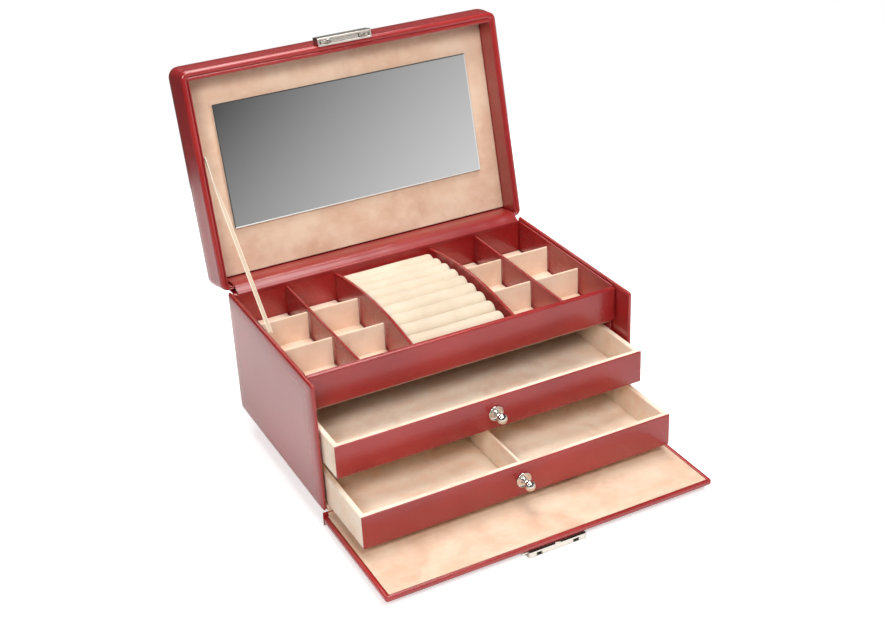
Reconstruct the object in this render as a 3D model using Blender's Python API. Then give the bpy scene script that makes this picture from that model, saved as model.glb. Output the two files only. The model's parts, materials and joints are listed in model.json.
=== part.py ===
"""Leather jewellery case: a hinged mirror lid, a fold-down front flap, two drawers and a fitted ring tray.

Shown open: the lid leans back on its ribbon stay, the flap lies down in front and both drawers are part out.
World frame: metres, +Z up, origin on the table under the middle of the case, front of the case towards -Y.
Case coordinates, used below: x from the middle, y back from the side walls' front edges, z up from their
bottom edges. Lid coordinates: x, then l from the hinge edge to the free edge, then t towards the inside.
"""

import math

import bpy
from mathutils import Matrix, Vector

MM = 0.001

# Case shell
CASE_WIDTH = 285 * MM
CASE_DEPTH = 180 * MM
CASE_HEIGHT = 112.4 * MM
FOOT_HEIGHT = 15.5 * MM
WALL = 4.2 * MM
BACK_WALL = 3.8 * MM
LINER = 1.7 * MM
FLOOR = 3.0 * MM
GAP = 0.3 * MM
PLINTH_INSET = 15 * MM

# Drawers
DRAWER_WIDTH = 272 * MM
DRAWER_LENGTH = 155 * MM
DRAWER_HEIGHT = 28.2 * MM
DRAWER_WALL = 4.4 * MM
DRAWER_FLOOR = 2.5 * MM
FACING = 1.2 * MM
LOWER_DRAWER_Z = 3.7 * MM
UPPER_DRAWER_Z = 41.7 * MM
LOWER_DRAWER_FRONT = -63.5 * MM
UPPER_DRAWER_FRONT = -22.1 * MM
SHELF_BOTTOM = 35.0 * MM
SHELF_TOP = 41.2 * MM

# Tray
TRAY_FRONT = 18.3 * MM
TRAY_FRONT_THICK = 5.0 * MM
TRAY_SHELF_BOTTOM = 72.2 * MM
TRAY_FLOOR_BOTTOM = 76.5 * MM
TRAY_FLOOR_TOP = 79.4 * MM
TRAY_TOP = 110 * MM
TRAY_BACK = 174.5 * MM
COLUMN = 45.45 * MM
DIVIDER_THICK = 2.4 * MM
DIVIDER_TOP = 107.8 * MM
ARCH_THICK = 2.6 * MM
ARCH_END = 107 * MM
ARCH_RISE = 8 * MM
CARD_THICK = 1.8 * MM
CARD_TOP = 105.5 * MM
ROLLS = 9
ROLL_RADIUS = 7.6 * MM
ROLL_PITCH = 15.5 * MM
ROLL_DROP = 1.8 * MM

# Lid
LID_WIDTH = 289 * MM
LID_LENGTH = 184.5 * MM
LID_DEPTH = 30 * MM
LID_SIDE = 6.5 * MM
LID_FREE_SIDE = 8.2 * MM
LID_HINGE_SIDE = 2.5 * MM
LINING_DEPTH = 21.3 * MM
LINING_THICK = 1.4 * MM
CROWN = 6.7 * MM
MIRROR_HALF_WIDTH = 118.1 * MM
MIRROR_LOW = 46.1 * MM
MIRROR_HIGH = 151.8 * MM
MIRROR_THICK = 2.7 * MM
LID_LEAN = 77.36
LID_AXIS = Vector((0, 181.8 * MM, 111.9 * MM))
LID_EDGE = Vector((0, 182.9 * MM, 111.47 * MM))
PIN_RADIUS = 0.8 * MM

# Flap and lock
FLAP_REACH = 113.2 * MM
FLAP_TOP = -4.2 * MM
FLAP_BOTTOM = -8.9 * MM
FLAP_BORDER = 3.7 * MM
FLAP_AXIS = Vector((0, 0.6 * MM, -2.8 * MM))
LOCK_WIDTH = 50 * MM
LOCK_FRONT = -114 * MM
LOCK_LENGTH = 22 * MM
LOCK_POCKET = (14 * MM, 5 * MM, 4.5 * MM)
PRONG_X = 16 * MM

RED = (0.29, 0.024, 0.03, 1)
PEACH = (0.76, 0.5, 0.34, 1)
CREAM = (0.9, 0.76, 0.58, 1)


# ---------------------------------------------------------------- materials


def principled(name, colour, roughness, metallic=0.0):
    material = bpy.data.materials.new(name)
    material.use_nodes = True
    shader = material.node_tree.nodes["Principled BSDF"]
    shader.inputs["Base Color"].default_value = colour
    shader.inputs["Roughness"].default_value = roughness
    shader.inputs["Metallic"].default_value = metallic
    return material


def leather(name):
    return principled(name, RED, 0.42)


def suede(name):
    return principled(name, PEACH, 0.9)


def cream_cloth(name):
    return principled(name, CREAM, 0.85)


def fibreboard(name):
    return principled(name, (0.35, 0.24, 0.15, 1), 0.8)


def chrome(name):
    return principled(name, (0.8, 0.8, 0.82, 1), 0.12, 1.0)


def steel(name):
    return principled(name, (0.45, 0.45, 0.47, 1), 0.35, 1.0)


def mirror_glass(name):
    return principled(name, (0.9, 0.9, 0.9, 1), 0.02, 1.0)


# ---------------------------------------------------------------- scene and mesh helpers


def clear_scene():
    for old in list(bpy.data.objects):
        bpy.data.objects.remove(old, do_unlink=True)


def empty(name, parent=None, location=(0, 0, 0), tilt=0.0):
    """An empty under parent, turned by tilt degrees about X."""
    made = bpy.data.objects.new(name, None)
    bpy.context.scene.collection.objects.link(made)
    made.empty_display_size = 0.02
    made.parent = parent
    made.location = location
    made.rotation_euler = (math.radians(tilt), 0, 0)
    return made


def add_object(name, points, faces, parent, kind):
    """One object from points in the parent's coordinates, with its origin at the middle of their box."""
    low = Vector(min(p[i] for p in points) for i in range(3))
    high = Vector(max(p[i] for p in points) for i in range(3))
    middle = (low + high) / 2
    mesh = bpy.data.meshes.new(name)
    mesh.from_pydata([Vector(p) - middle for p in points], [], faces)
    mesh.shade_smooth()
    mesh.set_sharp_from_angle(angle=math.radians(35))
    mesh.materials.append(kind(name))
    made = bpy.data.objects.new(name, mesh)
    bpy.context.scene.collection.objects.link(made)
    made.parent = parent
    made.location = middle
    return made


def skin(name, loops, parent, kind, ring=False):
    """A closed skin over loops of equal length: capped at both ends, or joined end to start as a ring."""
    count = len(loops[0])
    points = [p for loop in loops for p in loop]
    faces = []
    spans = len(loops) if ring else len(loops) - 1
    for i in range(spans):
        a = i * count
        b = (i + 1) % len(loops) * count
        for k in range(count):
            n = (k + 1) % count
            faces.append((a + k, a + n, b + n, b + k))
    if not ring:
        faces.append(tuple(reversed(range(count))))
        faces.append(tuple(range(len(points) - count, len(points))))
    return add_object(name, points, faces, parent, kind)


def rounded_rectangle(low, high, radius, height, steps=2):
    """Points, anticlockwise from above, of a rectangle with rounded corners at that height."""
    corners = (
        (high[0] - radius, high[1] - radius, 0),
        (low[0] + radius, high[1] - radius, 90),
        (low[0] + radius, low[1] + radius, 180),
        (high[0] - radius, low[1] + radius, 270),
    )
    points = []
    for x, y, start in corners:
        for k in range(steps + 1):
            turn = math.radians(start + 90 * k / steps)
            points.append((x + radius * math.cos(turn), y + radius * math.sin(turn), height))
    return points


def slab(name, low, high, parent, kind, corner=0.8 * MM, edge=0.4 * MM, steps=1):
    """A board with its upright corners rounded by corner, and its top and bottom edges by edge."""
    loops = []
    for end, sign in ((low[2], 1), (high[2], -1)):
        rounding = []
        for k in range(steps + 1):
            turn = math.radians(90 * k / steps)
            inset = edge * (1 - math.sin(turn))
            height = end + sign * edge * (1 - math.cos(turn))
            inner_low = (low[0] + inset, low[1] + inset)
            inner_high = (high[0] - inset, high[1] - inset)
            rounding.append(rounded_rectangle(inner_low, inner_high, corner - inset, height, steps))
        loops += rounding if sign > 0 else rounding[::-1]
    return skin(name, loops, parent, kind)


def side_profile(name, outline, x_low, x_high, parent, kind):
    """A solid from an outline of (y, z) points, anticlockwise seen from +X, pushed out along X."""
    loops = [[(x, y, z) for y, z in outline] for x in (x_low, x_high)]
    return skin(name, loops, parent, kind)


def thickened(line, thickness):
    """An outline, anticlockwise, around a (y, z) line that runs towards +y, thickness across."""
    upper = []
    lower = []
    for i, (y, z) in enumerate(line):
        before = line[max(i - 1, 0)]
        after = line[min(i + 1, len(line) - 1)]
        along = Vector((after[0] - before[0], after[1] - before[1])).normalized()
        across = Vector((-along.y, along.x)) * thickness / 2
        upper.append((y + across.x, z + across.y))
        lower.append((y - across.x, z - across.y))
    return lower + upper[::-1]


def turned(name, profile, place, parent, kind, sides=16):
    """A turned solid from (radius, distance) points along its axis; place puts its +Z axis where it belongs."""
    loops = []
    for radius, distance in profile:
        loop = []
        for k in range(sides):
            turn = 2 * math.pi * k / sides
            loop.append(place @ Vector((radius * math.cos(turn), radius * math.sin(turn), distance)))
        loops.append(loop)
    return skin(name, loops, parent, kind)


def cut(target, name, low, high, parent):
    """Cuts a plain box from target."""
    cutter = slab(name, low, high, parent, steel, corner=0.1 * MM, edge=0.05 * MM)
    hide_cutter(target, cutter)


def drill(target, name, radius, y_low, y_high, z, parent):
    """Cuts a round hole along Y from target."""
    place = Matrix.Translation((0, y_low, z)) @ Matrix.Rotation(math.radians(-90), 4, "X")
    profile = [(radius, 0), (radius, y_high - y_low)]
    hide_cutter(target, turned(name, profile, place, parent, steel, sides=12))


def hide_cutter(target, cutter):
    cutter.hide_render = True
    cutter.display_type = "WIRE"
    made = target.modifiers.new(cutter.name, "BOOLEAN")
    made.operation = "DIFFERENCE"
    made.solver = "EXACT"
    made.object = cutter


# ---------------------------------------------------------------- case shell


def make_plinth(case):
    half_x = CASE_WIDTH / 2 - PLINTH_INSET
    low = (-half_x, PLINTH_INSET, -FOOT_HEIGHT)
    high = (half_x, CASE_DEPTH - PLINTH_INSET, -GAP)
    slab("base_plinth", low, high, case, fibreboard, corner=4 * MM, edge=0.6 * MM, steps=2)


def make_side_walls(case):
    outer = CASE_WIDTH / 2
    inner = outer - WALL
    for name, x_low, x_high in (("left_wall", -outer, -inner), ("right_wall", inner, outer)):
        low = (x_low, 0, 0)
        high = (x_high, CASE_DEPTH, CASE_HEIGHT)
        slab(name, low, high, case, leather, corner=2.0 * MM, edge=1.8 * MM, steps=3)


def make_floor_and_back(case):
    half = CASE_WIDTH / 2 - WALL - GAP
    back_face = CASE_DEPTH - BACK_WALL
    slab("case_floor", (-half, 0.8 * MM, 0), (half, back_face - GAP, FLOOR), case, leather)
    low = (-half, back_face, 0)
    high = (half, CASE_DEPTH, TRAY_TOP)
    slab("back_wall", low, high, case, leather, corner=1.8 * MM, edge=1.2 * MM, steps=2)


def make_side_liners(case):
    outer = CASE_WIDTH / 2 - WALL - GAP
    inner = outer - LINER
    for name, x_low, x_high in (("left_liner", -outer, -inner), ("right_liner", inner, outer)):
        low = (x_low, TRAY_FRONT + TRAY_FRONT_THICK + GAP, FLOOR + GAP)
        high = (x_high, CASE_DEPTH - BACK_WALL - GAP, TRAY_TOP + 0.2 * MM)
        slab(name, low, high, case, leather, corner=0.7 * MM, edge=0.5 * MM)


def make_shelves(case):
    half = DRAWER_WIDTH / 2
    back = CASE_DEPTH - BACK_WALL - GAP
    slab("drawer_shelf", (-half, 24 * MM, SHELF_BOTTOM), (half, back, SHELF_TOP), case, suede)
    low = (-half, 36 * MM, TRAY_SHELF_BOTTOM)
    high = (half, back, TRAY_FLOOR_BOTTOM - GAP)
    slab("tray_shelf", low, high, case, fibreboard)


# ---------------------------------------------------------------- tray


def make_tray_shell(case):
    half = DRAWER_WIDTH / 2
    inner_front = TRAY_FRONT + TRAY_FRONT_THICK + GAP
    low = (-half, inner_front, TRAY_FLOOR_BOTTOM)
    slab("tray_floor", low, (half, TRAY_BACK - GAP, TRAY_FLOOR_TOP), case, suede)
    half_front = CASE_WIDTH / 2 - WALL - 2 * GAP
    low = (-half_front, TRAY_FRONT, TRAY_FLOOR_TOP + 0.4 * MM)
    high = (half_front, TRAY_FRONT + TRAY_FRONT_THICK, TRAY_TOP)
    slab("tray_front", low, high, case, leather, corner=1.8 * MM, edge=1.5 * MM, steps=3)
    low = (-half, TRAY_BACK, TRAY_FLOOR_BOTTOM)
    high = (half, CASE_DEPTH - BACK_WALL - GAP, TRAY_TOP - 0.2 * MM)
    slab("tray_back_liner", low, high, case, leather, corner=0.6 * MM, edge=0.4 * MM)


def tray_run():
    """Where the dividers start and stop along Y."""
    return TRAY_FRONT + TRAY_FRONT_THICK + GAP, TRAY_BACK - GAP


def arch_height(y):
    """Height of the arched dividers' top edge at y: a circular arc from ARCH_END up by ARCH_RISE."""
    start, stop = tray_run()
    half = (stop - start) / 2
    radius = (half * half + ARCH_RISE * ARCH_RISE) / (2 * ARCH_RISE)
    from_middle = y - (start + stop) / 2
    return ARCH_END + ARCH_RISE - radius + math.sqrt(radius * radius - from_middle * from_middle)


def arched_outline(drop, steps=12):
    """Outline, anticlockwise from +X, from the tray floor up to drop below the arches' top edge."""
    start, stop = tray_run()
    bottom = TRAY_FLOOR_TOP + GAP
    top = []
    for k in range(steps + 1):
        y = stop + (start - stop) * k / steps
        top.append((y, arch_height(y) - drop))
    return [(start, bottom), (stop, bottom)] + top


def make_dividers(case):
    start, stop = tray_run()
    for name, x in (("divider_left", -2 * COLUMN), ("divider_right", 2 * COLUMN)):
        low = (x - DIVIDER_THICK / 2, start, TRAY_FLOOR_TOP + GAP)
        high = (x + DIVIDER_THICK / 2, stop, DIVIDER_TOP)
        slab(name, low, high, case, leather, corner=1.0 * MM, edge=0.9 * MM, steps=2)
    for name, x in (("arch_left", -COLUMN), ("arch_right", COLUMN)):
        x_low = x - ARCH_THICK / 2
        side_profile(name, arched_outline(0), x_low, x_low + ARCH_THICK, case, leather)


def make_ring_section(case):
    start, stop = tray_run()
    half = COLUMN - ARCH_THICK / 2 - GAP
    bed_drop = ROLL_DROP + 2 * ROLL_RADIUS + 0.6 * MM
    side_profile("ring_bed", arched_outline(bed_drop), -half, half, case, suede)
    length = 84 * MM
    soft = 2.4 * MM
    profile = [
        (ROLL_RADIUS - soft, 0),
        (ROLL_RADIUS - 0.7 * MM, 0.7 * MM),
        (ROLL_RADIUS, soft),
        (ROLL_RADIUS, length - soft),
        (ROLL_RADIUS - 0.7 * MM, length - 0.7 * MM),
        (ROLL_RADIUS - soft, length),
    ]
    for i in range(ROLLS):
        y = (start + stop) / 2 + ROLL_PITCH * (i - (ROLLS - 1) / 2)
        z = arch_height(y) - ROLL_DROP - ROLL_RADIUS
        place = Matrix.Translation((-half, y, z)) @ Matrix.Rotation(math.radians(90), 4, "Y")
        turned(f"ring_roll_{i + 1}", profile, place, case, cream_cloth, sides=14)


def card_outline():
    """A folded card seen from +X: a floor with two upstands that share each column out in three."""
    start, stop = tray_run()
    bottom = TRAY_FLOOR_TOP + GAP
    top = bottom + CARD_THICK
    points = [(start, bottom), (stop, bottom), (stop, top)]
    for third in (2, 1):
        y = start + (stop - start) * third / 3
        points += [(y + CARD_THICK / 2, top), (y + CARD_THICK / 2, CARD_TOP)]
        points += [(y - CARD_THICK / 2, CARD_TOP), (y - CARD_THICK / 2, top)]
    return points + [(start, top)]


def make_cards(case):
    wall = DRAWER_WIDTH / 2
    outer = 2 * COLUMN + DIVIDER_THICK / 2 + GAP
    middle = 2 * COLUMN - DIVIDER_THICK / 2 - GAP
    inner = COLUMN + ARCH_THICK / 2 + GAP
    spans = ((-wall, -outer), (-middle, -inner), (inner, middle), (outer, wall))
    for i, (x_low, x_high) in enumerate(spans):
        side_profile(f"card_insert_{i + 1}", card_outline(), x_low, x_high, case, suede)


# ---------------------------------------------------------------- drawers


def make_drawer(name, front, bottom, case, divided):
    """A drawer under its own slide empty: an open box, a leather facing, a turned knob and its screw."""
    slide = empty(f"{name}_slide", case, (0, front, bottom + DRAWER_HEIGHT / 2))
    datum = empty(f"{name}_datum", slide, (0, -front, -bottom - DRAWER_HEIGHT / 2))
    half = DRAWER_WIDTH / 2
    top = bottom + DRAWER_HEIGHT
    knob_z = bottom + DRAWER_HEIGHT / 2
    box_front = front + FACING + GAP
    back = front + DRAWER_LENGTH
    front_wall = DRAWER_WALL - 0.6 * MM
    outer = ((-half, box_front), (half, back))
    inner = (
        (-half + DRAWER_WALL, box_front + front_wall),
        (half - DRAWER_WALL, back - DRAWER_WALL),
    )
    loops = [
        rounded_rectangle(*outer, 0.8 * MM, bottom),
        rounded_rectangle(*outer, 0.8 * MM, top),
        rounded_rectangle(*inner, 0.8 * MM, top),
        rounded_rectangle(*inner, 0.8 * MM, bottom + DRAWER_FLOOR),
    ]
    box = skin(f"{name}_box", loops, datum, suede)
    low = (-half, front, bottom)
    facing = slab(f"{name}_facing", low, (half, front + FACING, top), datum, leather, 0.5 * MM, 0.4 * MM)
    drill(facing, f"{name}_facing_hole", 1.6 * MM, front - MM, front + FACING + MM, knob_z, datum)
    drill(box, f"{name}_box_hole", 1.6 * MM, box_front - MM, inner[0][1] + MM, knob_z, datum)
    make_knob(name, front, inner[0][1], knob_z, datum)
    if divided:
        low = (-1.25 * MM, inner[0][1] + GAP, bottom + DRAWER_FLOOR + GAP)
        high = (1.25 * MM, inner[1][1] - GAP, top - 0.3 * MM)
        divider = slab(f"{name}_divider", low, high, datum, suede, corner=0.9 * MM, edge=0.8 * MM, steps=2)
        drill(divider, f"{name}_head_room", 3.4 * MM, low[1] - MM, low[1] + 2 * MM, knob_z, datum)


def make_knob(name, front, inner_face, z, datum):
    """A turned knob standing out from the facing, and the screw that holds it from inside."""
    outwards = Matrix.Translation((0, front - GAP, z)) @ Matrix.Rotation(math.radians(90), 4, "X")
    profile = [
        (1.5 * MM, 2.4 * MM),
        (1.5 * MM, 0),
        (6.5 * MM, 0),
        (6.5 * MM, 0.8 * MM),
        (5.2 * MM, 1.9 * MM),
        (2.6 * MM, 2.6 * MM),
        (1.9 * MM, 4.2 * MM),
        (2.2 * MM, 6.0 * MM),
    ]
    ball_middle = 10.2 * MM
    for degrees in range(-50, 81, 26):
        turn = math.radians(degrees)
        profile.append((4.35 * MM * math.cos(turn), ball_middle + 3.9 * MM * math.sin(turn)))
    turned(f"{name}_knob", profile, outwards, datum, chrome, sides=20)
    head = 1.3 * MM
    inwards = Matrix.Translation((0, inner_face + GAP + head, z)) @ Matrix.Rotation(math.radians(90), 4, "X")
    reach = head + inner_face - front + 2 * MM
    profile = [(2.2 * MM, 0), (3.0 * MM, 0.6 * MM), (3.0 * MM, head), (1.2 * MM, head), (1.2 * MM, reach)]
    turned(f"{name}_knob_screw", profile, inwards, datum, steel, sides=12)


# ---------------------------------------------------------------- lid


def make_lid_shell(lid):
    half = LID_WIDTH / 2
    outer = ((-half, 0), (half, LID_LENGTH))
    inner = ((-half + LID_SIDE, LID_HINGE_SIDE), (half - LID_SIDE, LID_LENGTH - LID_FREE_SIDE))
    edge = 0.9 * MM
    outer_in = ((-half + edge, edge), (half - edge, LID_LENGTH - edge))
    loops = [
        rounded_rectangle(*outer, 5 * MM, -LID_DEPTH, 4),
        rounded_rectangle(*outer, 5 * MM, -edge, 4),
        rounded_rectangle(*outer_in, 4.1 * MM, 0, 4),
        rounded_rectangle(*inner, 1.2 * MM, 0, 4),
        rounded_rectangle(*inner, 1.2 * MM, -LID_DEPTH, 4),
    ]
    skin("lid_frame", loops, lid, leather, ring=True)
    low = (inner[0][0] + GAP, inner[0][1] + GAP, -LID_DEPTH)
    high = (inner[1][0] - GAP, inner[1][1] - GAP, -LINING_DEPTH - LINING_THICK - GAP)
    slab("lid_panel", low, high, lid, fibreboard, corner=1.2 * MM)
    low = (low[0], 6.2 * MM, -LINING_DEPTH - LINING_THICK)
    slab("lid_lining", low, (high[0], high[1], -LINING_DEPTH), lid, suede, corner=1.2 * MM)
    back = -LINING_DEPTH + GAP
    low = (-MIRROR_HALF_WIDTH, MIRROR_LOW, back)
    high = (MIRROR_HALF_WIDTH, MIRROR_HIGH, back + MIRROR_THICK)
    slab("lid_mirror", low, high, lid, mirror_glass, corner=0.8 * MM, edge=0.6 * MM)


def make_lid_padding(lid):
    """The crowned padded top: each loop lies further in from the edge and further out from the board."""
    half = LID_WIDTH / 2
    start = -LID_DEPTH - GAP
    reach = 88 * MM
    loops = []
    for share in (1.0, 0.7, 0.45, 0.26, 0.12, 0.04, 0.012, 0):
        inset = reach * share
        height = 0 if share == 0 else 1.6 * MM + (CROWN - 1.6 * MM) * (1 - (1 - share) ** 2)
        low = (-half + inset, inset)
        high = (half - inset, LID_LENGTH - inset)
        radius = max(5 * MM - inset, 1.5 * MM)
        loops.append(rounded_rectangle(low, high, radius, start - height, 4))
    skin("lid_padding", loops, lid, leather)


def make_clasp(lid):
    half = 24.5 * MM
    low = (-half, LID_LENGTH + GAP, -12 * MM)
    high = (half, LID_LENGTH + 6.0 * MM, 1.5 * MM)
    slab("clasp_bar", low, high, lid, chrome, corner=1.0 * MM, edge=0.7 * MM, steps=2)
    for name, side in (("clasp_prong_left", -1), ("clasp_prong_right", 1)):
        x = side * PRONG_X
        low = (x - 2 * MM, LID_LENGTH + 2.0 * MM, 1.5 * MM + GAP)
        high = (x + 2 * MM, LID_LENGTH + 4.4 * MM, 4.8 * MM)
        slab(name, low, high, lid, chrome, corner=0.5 * MM)


def make_lid_hinge(case, lid):
    half = 125 * MM
    low = (-half, CASE_DEPTH + GAP, 96 * MM)
    slab("case_hinge_leaf", low, (half, CASE_DEPTH + 1.1 * MM, 110.7 * MM), case, steel, 0.3 * MM, 0.2 * MM)
    slab("lid_hinge_leaf", (-half, -1.1 * MM, -15 * MM), (half, -GAP, -3 * MM), lid, steel, 0.3 * MM, 0.2 * MM)
    place = Matrix.Translation(LID_AXIS - Vector((half, 0, 0))) @ Matrix.Rotation(math.radians(90), 4, "Y")
    turned("hinge_pin", [(PIN_RADIUS, 0), (PIN_RADIUS, 2 * half)], place, case, steel, sides=12)


def lid_point(x, l, t):
    """Lid coordinates to case coordinates, with the lid open."""
    lean = math.radians(LID_LEAN)
    along = Vector((0, math.cos(lean), math.sin(lean)))
    inwards = Vector((0, -math.sin(lean), math.cos(lean)))
    return LID_EDGE + Vector((x, 0, 0)) + along * l + inwards * t


def make_hinge_leather(case):
    """The leather across the lid's joint: a web inside and a strip outside."""
    crest = lid_point(0, LID_HINGE_SIDE + 1.0 * MM, -0.8 * MM)
    lining_edge = lid_point(0, 5.2 * MM, -LINING_DEPTH + 0.8 * MM)
    middle = lid_point(0, LID_HINGE_SIDE + 1.8 * MM, -10 * MM)
    line = [
        (TRAY_BACK + 0.2 * MM, TRAY_TOP + 0.8 * MM),
        (178.5 * MM, 112.6 * MM),
        (crest.y - 1.5 * MM, crest.z - 0.2 * MM),
        (crest.y + 1.5 * MM, crest.z + 0.1 * MM),
        (middle.y, middle.z),
        (lining_edge.y, lining_edge.z),
    ]
    side_profile("hinge_web", thickened(line, 1.0 * MM), -134 * MM, 136 * MM, case, leather)
    outer = CASE_DEPTH + 1.9 * MM
    near = lid_point(0, -2.6 * MM, -6 * MM)
    far = lid_point(0, -1.9 * MM, -19 * MM)
    line = [
        (outer, 90 * MM),
        (outer, 104 * MM),
        (outer + 1.6 * MM, 107 * MM),
        (near.y, near.z),
        (far.y, far.z),
    ]
    side_profile("hinge_back_strip", thickened(line, 0.8 * MM), -130 * MM, 130 * MM, case, leather)


def make_ribbon(case):
    """The flat ribbon that stops the lid: twisted between the lid's left wall and the case's left wall."""
    top = lid_point(-137.2 * MM, 113 * MM, -1.7 * MM)
    foot = Vector((-133.9 * MM, 100 * MM, 109.6 * MM))
    width = 5 * MM
    thick = 0.6 * MM
    twist = math.radians(52)
    steps = 16
    along = (foot - top).normalized()
    flat = along.cross(Vector((1, 0, 0))).normalized()
    loops = []
    for k in range(steps + 1):
        share = k / steps
        across = Matrix.Rotation(twist * share, 3, along) @ flat
        normal = along.cross(across)
        middle = top.lerp(foot, share)
        corners = ((1, 1), (-1, 1), (-1, -1), (1, -1))
        loops.append([middle + across * a * width / 2 + normal * b * thick / 2 for a, b in corners])
    skin("ribbon_stay", loops, case, cream_cloth)


# ---------------------------------------------------------------- flap and lock


def make_flap(flap):
    half = CASE_WIDTH / 2
    rear = -1.0 * MM
    low = (-half, -FLAP_REACH, FLAP_BOTTOM)
    high = (half, rear, FLAP_TOP - 0.7 * MM)
    slab("flap_board", low, high, flap, leather, corner=2.0 * MM, edge=1.4 * MM, steps=3)
    low = (-half + FLAP_BORDER, -FLAP_REACH + 2.6 * MM, high[2] + GAP)
    slab("flap_lining", low, (half - FLAP_BORDER, rear, FLAP_TOP), flap, suede, 0.6 * MM, 0.15 * MM)


def make_flap_hinge(case):
    """A leather strip in front of the floor's edge, wider below the side walls than between them."""
    wide = CASE_WIDTH / 2 - 0.2 * MM
    narrow = CASE_WIDTH / 2 - WALL - 0.5 * MM
    shoulder = -GAP
    outline = [(-wide, -12.2 * MM), (wide, -12.2 * MM), (wide, shoulder), (narrow, shoulder)]
    outline += [(narrow, 2.7 * MM), (-narrow, 2.7 * MM), (-narrow, shoulder), (-wide, shoulder)]
    loops = [[(x, y, z) for x, z in outline] for y in (0.5 * MM, -0.7 * MM)]
    skin("flap_hinge_strip", loops, case, leather)


def make_lock(flap, pocket_slide):
    half = LOCK_WIDTH / 2
    bottom = -FOOT_HEIGHT
    low = (-half, LOCK_FRONT, bottom)
    high = (half, LOCK_FRONT + LOCK_LENGTH, FLAP_BOTTOM - GAP)
    body = slab("lock_body", low, high, flap, chrome, corner=1.2 * MM, edge=0.8 * MM, steps=2)
    for name, side in (("left_slot", -1), ("right_slot", 1)):
        x = side * PRONG_X
        low = (x - 2.5 * MM, LOCK_FRONT - MM, -14.4 * MM)
        cut(body, name, low, (x + 2.5 * MM, LOCK_FRONT + 4 * MM, -11.6 * MM), flap)
    half_x, half_y, depth = LOCK_POCKET
    middle = LOCK_FRONT + LOCK_LENGTH / 2 + 1 * MM
    low = (-half_x, middle - half_y, bottom - MM)
    cut(body, "lock_pocket", low, (half_x, middle + half_y, bottom + depth), flap)
    low = (-5 * MM, middle - half_y + GAP, bottom + GAP)
    high = (half_x - 4 * MM, middle + half_y - GAP, bottom + depth - 0.5 * MM)
    slab("lock_slide", low, high, pocket_slide, chrome, corner=0.8 * MM, edge=0.5 * MM)
    make_lock_spring(flap, -half_x + GAP, -5.4 * MM, middle, bottom + depth / 2)


def make_lock_spring(flap, x_low, x_high, y, z):
    """The compression spring beside the slide, as a round wire along a helix."""
    coil_radius = 1.3 * MM
    wire = 0.22 * MM
    turns = 5
    steps = 10 * turns
    curve = bpy.data.curves.new("lock_spring", "CURVE")
    curve.dimensions = "3D"
    curve.bevel_depth = wire
    curve.bevel_resolution = 0
    curve.use_fill_caps = True
    curve.materials.append(steel("lock_spring"))
    line = curve.splines.new("POLY")
    line.points.add(steps)
    length = x_high - x_low - 2 * wire
    for k in range(steps + 1):
        turn = 2 * math.pi * turns * k / steps
        x = length * (k / steps - 0.5)
        line.points[k].co = (x, coil_radius * math.cos(turn), coil_radius * math.sin(turn), 1)
    made = bpy.data.objects.new("lock_spring", curve)
    bpy.context.scene.collection.objects.link(made)
    made.parent = flap
    made.location = ((x_low + x_high) / 2, y, z)


# ---------------------------------------------------------------- assembly


def build():
    clear_scene()
    case = empty("case_datum", None, (0, -CASE_DEPTH / 2, FOOT_HEIGHT))
    lid_pivot = empty("lid_pivot", case, LID_AXIS, LID_LEAN)
    to_edge = Matrix.Rotation(math.radians(-LID_LEAN), 3, "X") @ (LID_EDGE - LID_AXIS)
    lid = empty("lid_datum", lid_pivot, to_edge)
    flap_pivot = empty("flap_pivot", case, FLAP_AXIS)
    flap = empty("flap_datum", flap_pivot, -FLAP_AXIS)
    pocket_slide = empty("lock_slide_datum", flap)
    make_plinth(case)
    make_side_walls(case)
    make_floor_and_back(case)
    make_side_liners(case)
    make_shelves(case)
    make_tray_shell(case)
    make_dividers(case)
    make_ring_section(case)
    make_cards(case)
    make_drawer("upper_drawer", UPPER_DRAWER_FRONT, UPPER_DRAWER_Z, case, divided=False)
    make_drawer("lower_drawer", LOWER_DRAWER_FRONT, LOWER_DRAWER_Z, case, divided=True)
    make_lid_shell(lid)
    make_lid_padding(lid)
    make_clasp(lid)
    make_lid_hinge(case, lid)
    make_hinge_leather(case)
    make_ribbon(case)
    make_flap(flap)
    make_flap_hinge(case)
    make_lock(flap, pocket_slide)


build()
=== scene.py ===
"""Looks of the leather jewellery case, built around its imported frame.

Lengths in the builders are in millimetres. Case coordinates: x from the middle, y back from the side walls'
front edges, z up from their bottom edges. Lid coordinates: x, then l from the hinge edge to the free edge,
then t towards the inside, so the rim lies at t = 0 and the padded top at t below -30.
"""

import json
import math

import bpy
from mathutils import Matrix, Vector, noise


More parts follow.
